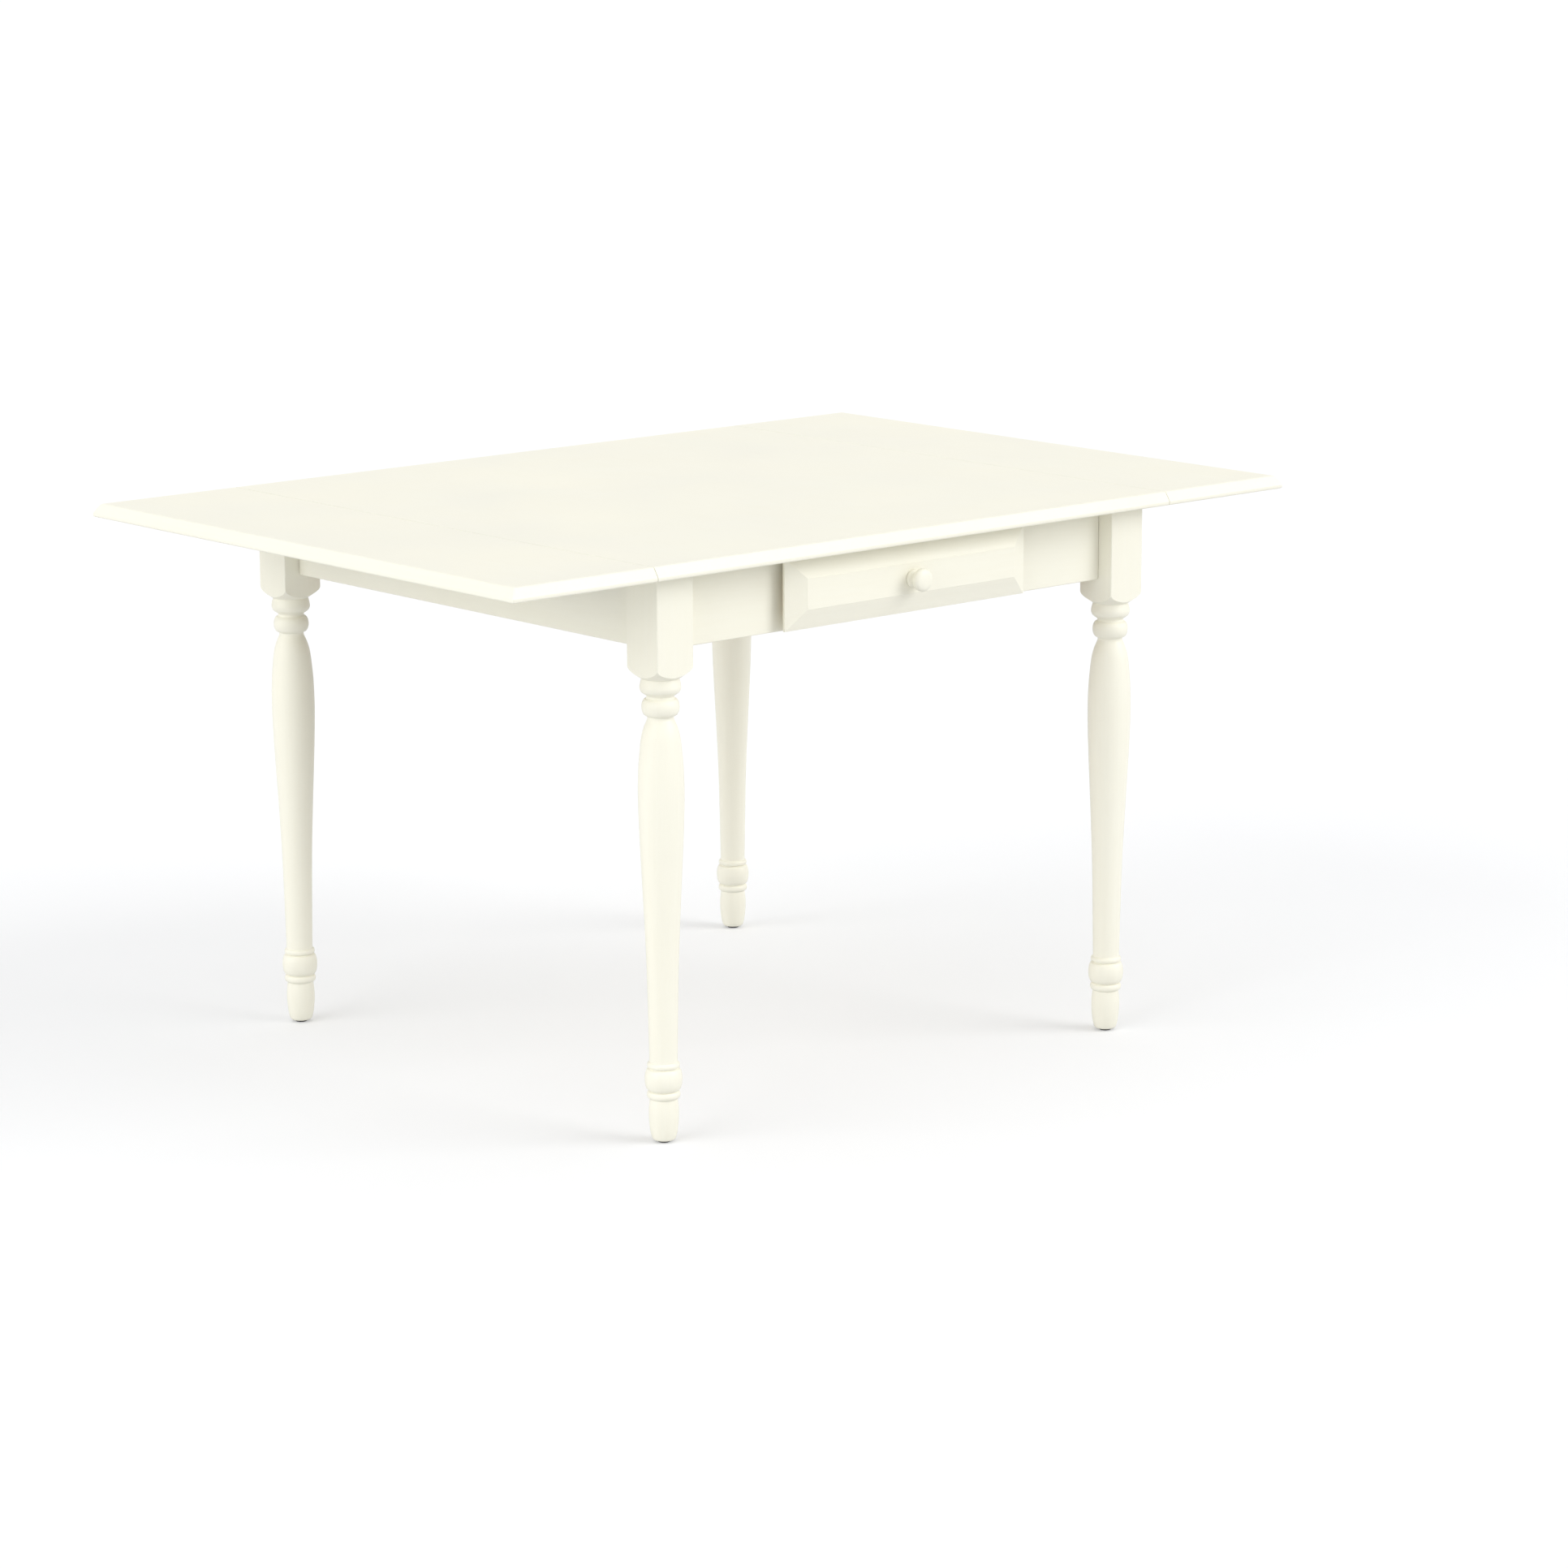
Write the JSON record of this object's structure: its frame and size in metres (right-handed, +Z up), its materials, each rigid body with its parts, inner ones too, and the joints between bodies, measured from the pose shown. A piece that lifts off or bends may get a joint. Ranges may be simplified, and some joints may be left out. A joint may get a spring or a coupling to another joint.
{
  "type": "drop leaf table",
  "caption": "Rectangular drop leaf dining table with turned legs, two hinged end leaves on folding brackets and a side drawer with a raised front and round knob.",
  "frame": {"origin": "centre of the footprint on the floor", "axes": "+X along the table towards the right leaf, -Y towards the drawer side, +Z up"},
  "size_m": [1.3716, 0.9144, 0.762],
  "materials": {
    "paint": "satin off-white paint on wood",
    "wood": "plain unfinished wood",
    "steel": "zinc-plated steel",
    "glide": "black"
  },
  "bodies": {
    "table_frame": {"top_center_panel": "paint", "front_left_leg": "paint", "front_right_leg": "paint", "back_right_leg": "paint", "back_left_leg": "paint", "front_left_glide": "glide", "front_right_glide": "glide", "back_right_glide": "glide", "back_left_glide": "glide", "front_left_corner_block": "wood", "front_right_corner_block": "wood", "back_right_corner_block": "wood", "back_left_corner_block": "wood", "front_left_corner_bolt": "steel", "front_right_corner_bolt": "steel", "back_right_corner_bolt": "steel", "back_left_corner_bolt": "steel", "front_left_apron": "paint", "front_right_apron": "paint", "back_apron": "paint", "left_end_apron": "paint", "right_end_apron": "paint", "drawer_upper_rail": "wood", "drawer_lower_rail": "wood", "left_drawer_runner": "wood", "right_drawer_runner": "wood", "drawer_kicker": "wood", "drawer_pullout_stop": "wood", "drawer_closing_stop": "wood", "left_front_hinge_fixed_plate": "steel", "left_front_bracket_plate": "steel", "left_back_hinge_fixed_plate": "steel", "left_back_bracket_plate": "steel", "right_front_hinge_fixed_plate": "steel", "right_front_bracket_plate": "steel", "right_back_hinge_fixed_plate": "steel", "right_back_bracket_plate": "steel"},
    "left_leaf": {"left_leaf": "paint", "left_front_hinge_leaf_plate": "steel", "left_back_hinge_leaf_plate": "steel", "left_front_bracket_rail": "steel", "left_back_bracket_rail": "steel"},
    "right_leaf": {"right_leaf": "paint", "right_front_hinge_leaf_plate": "steel", "right_back_hinge_leaf_plate": "steel", "right_front_bracket_rail": "steel", "right_back_bracket_rail": "steel"},
    "drawer": {"drawer_front": "paint", "drawer_box_front": "wood", "drawer_left_side": "wood", "drawer_right_side": "wood", "drawer_back": "wood", "drawer_bottom": "wood", "drawer_knob": "paint", "knob_screw": "steel"},
    "left_front_strut": {"left_front_bracket_strut": "steel"},
    "left_back_strut": {"left_back_bracket_strut": "steel"},
    "right_front_strut": {"right_front_bracket_strut": "steel"},
    "right_back_strut": {"right_back_bracket_strut": "steel"}
  },
  "joints": [
    {"name": "left_leaf_hinge", "type": "hinge", "parent": "table_frame", "child": "left_leaf", "pos_m": [-0.4572, 0, 0.741], "axis": [0, 1, 0], "range_deg": [-90, 0]},
    {"name": "left_front_strut_pivot", "type": "hinge", "parent": "table_frame", "child": "left_front_strut", "pos_m": [-0.4352, -0.21, 0.703], "axis": [0, 1, 0], "range_deg": [-101.55, 0]},
    {"name": "left_back_strut_pivot", "type": "hinge", "parent": "table_frame", "child": "left_back_strut", "pos_m": [-0.4352, 0.21, 0.703], "axis": [0, 1, 0], "range_deg": [-101.55, 0]},
    {"name": "right_leaf_hinge", "type": "hinge", "parent": "table_frame", "child": "right_leaf", "pos_m": [0.4572, 0, 0.741], "axis": [0, -1, 0], "range_deg": [-90, 0]},
    {"name": "right_front_strut_pivot", "type": "hinge", "parent": "table_frame", "child": "right_front_strut", "pos_m": [0.4352, -0.21, 0.703], "axis": [0, -1, 0], "range_deg": [-101.55, 0]},
    {"name": "right_back_strut_pivot", "type": "hinge", "parent": "table_frame", "child": "right_back_strut", "pos_m": [0.4352, 0.21, 0.703], "axis": [0, -1, 0], "range_deg": [-101.55, 0]},
    {"name": "drawer_slide", "type": "slide", "parent": "table_frame", "child": "drawer", "axis": [0, -1, 0], "range_m": [-0.0121, 0.255]}
  ],
  "couplings": [
    {"joint": "left_front_strut_pivot", "follows": "left_leaf_hinge", "ratio": 1.1281},
    {"joint": "left_back_strut_pivot", "follows": "left_leaf_hinge", "ratio": 1.1281},
    {"joint": "right_front_strut_pivot", "follows": "right_leaf_hinge", "ratio": 1.1281},
    {"joint": "right_back_strut_pivot", "follows": "right_leaf_hinge", "ratio": 1.1281}
  ]
}
